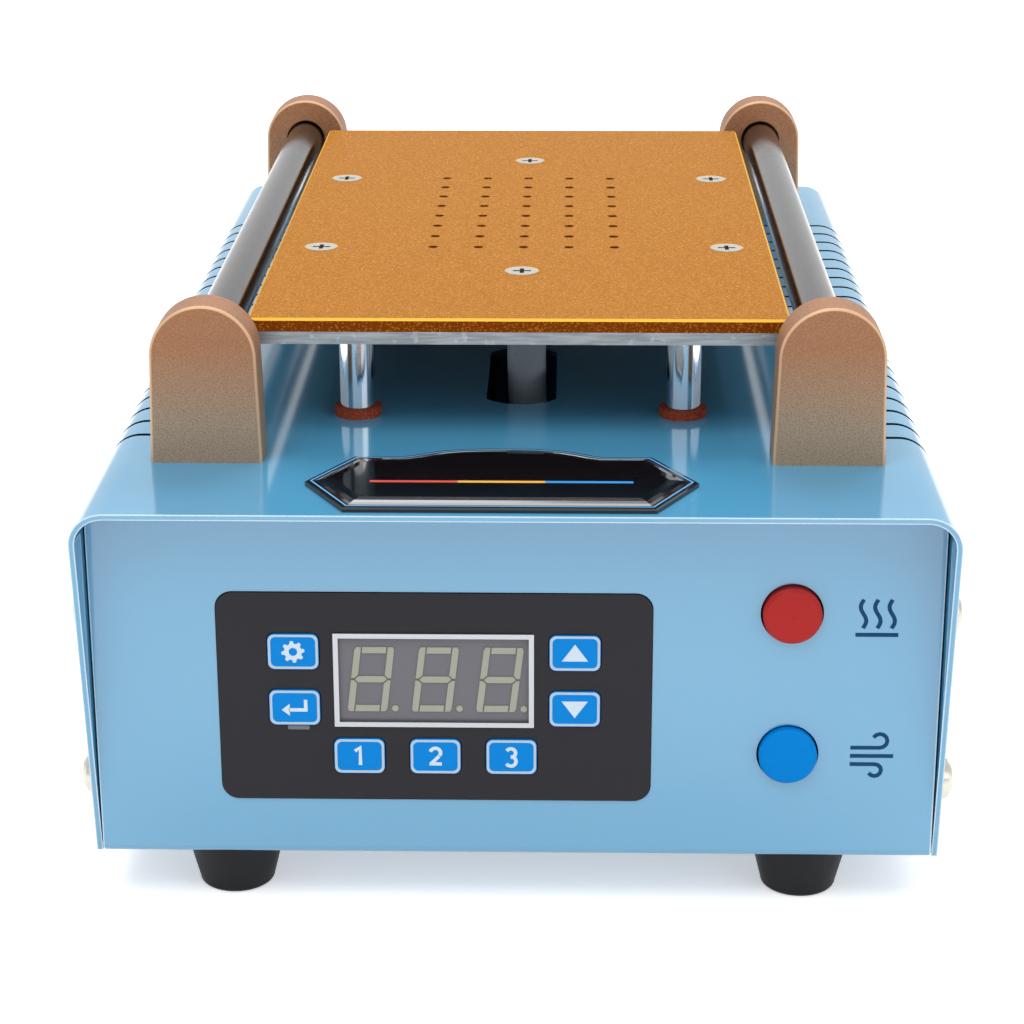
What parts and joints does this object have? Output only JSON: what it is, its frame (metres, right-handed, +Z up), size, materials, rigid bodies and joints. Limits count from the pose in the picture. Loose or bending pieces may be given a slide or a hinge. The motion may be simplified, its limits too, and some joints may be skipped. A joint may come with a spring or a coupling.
{
  "type": "lcd screen separator",
  "caption": "Benchtop vacuum and heat separator for phone screens with a heated suction plate, two guide rollers and a temperature control panel.",
  "frame": {"origin": "on the table under the middle of the case", "axes": "+Z up, the control panel faces -Y, the power inlet faces +Y, +X to the right of someone who faces the control panel"},
  "size_m": [0.1774, 0.287, 0.1214],
  "materials": {
    "case_blue": "gloss powder coat, light blue",
    "rubber_black": "matt",
    "screw_steel": "bright zinc",
    "bracket_bronze": "bronze anodised, sand textured",
    "roller_steel": "ground and polished",
    "work_orange": "orange-gold anodised, sand textured",
    "plate_bare": "satin",
    "fibre": "matt fibre",
    "mat_red": "matt silicone",
    "brass": "satin",
    "hose_clear": "milky silicone",
    "sleeve_white": "woven glass sleeve",
    "lead_black": "satin sheath",
    "badge_black": "gloss",
    "plug_white": "satin",
    "panel_black": "satin",
    "frame_silver": "metallic",
    "display_grey": "gloss",
    "digit_pale": "matt, unlit",
    "key_blue": "satin",
    "board_green": "solder mask",
    "button_red": "satin",
    "button_blue": "satin",
    "switch_dark": "matt",
    "inlet_black": "satin",
    "rocker_red": "translucent red",
    "pump_grey": "matt",
    "motor_steel": "satin"
  },
  "bodies": {
    "base": {"base_tray": "case_blue", "cover": "case_blue", "feet": "rubber_black", "foot_screws": "screw_steel", "side_screws": "screw_steel", "bracket_front_left": "bracket_bronze", "bracket_front_right": "bracket_bronze", "bracket_rear_left": "bracket_bronze", "bracket_rear_right": "bracket_bronze", "bracket_screws": "screw_steel", "work_plate": "work_orange", "vacuum_plate": "plate_bare", "plate_screws": "screw_steel", "standoffs": "plate_bare", "standoff_washers": "fibre", "standoff_screws": "screw_steel", "heater_mat": "mat_red", "hose_fitting": "brass", "vacuum_hose": "hose_clear", "heater_sleeve": "sleeve_white", "heater_leads": "lead_black", "sensor_sleeve": "plug_white", "sensor_lead": "lead_black", "temperature_sensor": "screw_steel", "name_plate": "badge_black", "hole_plug": "plug_white", "control_panel": "panel_black", "display_frame": "frame_silver", "display_module": "display_grey", "display_segments": "digit_pale", "control_board": "board_green", "board_screws": "screw_steel", "push_switches": "switch_dark", "switch_holder": "motor_steel", "inlet_body": "inlet_black", "inlet_screws": "screw_steel", "inlet_pins": "screw_steel", "rocker_housing": "inlet_black", "pump_head": "pump_grey", "pump_lid": "pump_grey", "pump_motor": "motor_steel", "pump_clamp": "motor_steel", "power_supply": "board_green", "supply_posts": "brass", "switch_wires": "lead_black"},
    "roller_left": {"roller_left": "roller_steel"},
    "roller_right": {"roller_right": "roller_steel"},
    "heat_button": {"heat_button": "button_red"},
    "air_button": {"air_button": "button_blue"},
    "rocker": {"rocker": "rocker_red"},
    "pump_crank": {"pump_crank": "brass"},
    "key_set": {"key_set": "key_blue"},
    "key_enter": {"key_enter": "key_blue"},
    "key_up": {"key_up": "key_blue"},
    "key_down": {"key_down": "key_blue"},
    "key_channel_1": {"key_channel_1": "key_blue"},
    "key_channel_2": {"key_channel_2": "key_blue"},
    "key_channel_3": {"key_channel_3": "key_blue"},
    "fuse_drawer": {"fuse_drawer": "inlet_black", "fuse": "screw_steel"}
  },
  "joints": [
    {"name": "roller_left_turn", "type": "hinge", "parent": "base", "child": "roller_left", "pos_m": [-0.0625, 0, 0.1107], "axis": [0, 1, 0], "continuous": true},
    {"name": "roller_right_turn", "type": "hinge", "parent": "base", "child": "roller_right", "pos_m": [0.0625, 0, 0.1107], "axis": [0, 1, 0], "continuous": true},
    {"name": "heat_button_press", "type": "slide", "parent": "base", "child": "heat_button", "axis": [0, 1, 0], "range_m": [0, 0.0025], "stiffness_N_per_m": 600, "springref_m": -0.002},
    {"name": "air_button_press", "type": "slide", "parent": "base", "child": "air_button", "axis": [0, 1, 0], "range_m": [0, 0.0025], "stiffness_N_per_m": 600, "springref_m": -0.002},
    {"name": "key_set_press", "type": "slide", "parent": "base", "child": "key_set", "axis": [0, 1, 0], "range_m": [0, 0.0004], "stiffness_N_per_m": 1500, "springref_m": -0.0004},
    {"name": "key_enter_press", "type": "slide", "parent": "base", "child": "key_enter", "axis": [0, 1, 0], "range_m": [0, 0.0004], "stiffness_N_per_m": 1500, "springref_m": -0.0004},
    {"name": "key_up_press", "type": "slide", "parent": "base", "child": "key_up", "axis": [0, 1, 0], "range_m": [0, 0.0004], "stiffness_N_per_m": 1500, "springref_m": -0.0004},
    {"name": "key_down_press", "type": "slide", "parent": "base", "child": "key_down", "axis": [0, 1, 0], "range_m": [0, 0.0004], "stiffness_N_per_m": 1500, "springref_m": -0.0004},
    {"name": "key_channel_1_press", "type": "slide", "parent": "base", "child": "key_channel_1", "axis": [0, 1, 0], "range_m": [0, 0.0004], "stiffness_N_per_m": 1500, "springref_m": -0.0004},
    {"name": "key_channel_2_press", "type": "slide", "parent": "base", "child": "key_channel_2", "axis": [0, 1, 0], "range_m": [0, 0.0004], "stiffness_N_per_m": 1500, "springref_m": -0.0004},
    {"name": "key_channel_3_press", "type": "slide", "parent": "base", "child": "key_channel_3", "axis": [0, 1, 0], "range_m": [0, 0.0004], "stiffness_N_per_m": 1500, "springref_m": -0.0004},
    {"name": "rocker_swing", "type": "hinge", "parent": "base", "child": "rocker", "pos_m": [-0.02175, 0.13495, 0.0506], "axis": [1, 0, 0], "range_deg": [0, 20]},
    {"name": "fuse_drawer_slide", "type": "slide", "parent": "base", "child": "fuse_drawer", "axis": [0, 1, 0], "range_m": [0, 0.02]},
    {"name": "pump_crank_turn", "type": "hinge", "parent": "base", "child": "pump_crank", "pos_m": [0.03, 0.015, 0.0342], "axis": [0, 1, 0], "continuous": true}
  ]
}
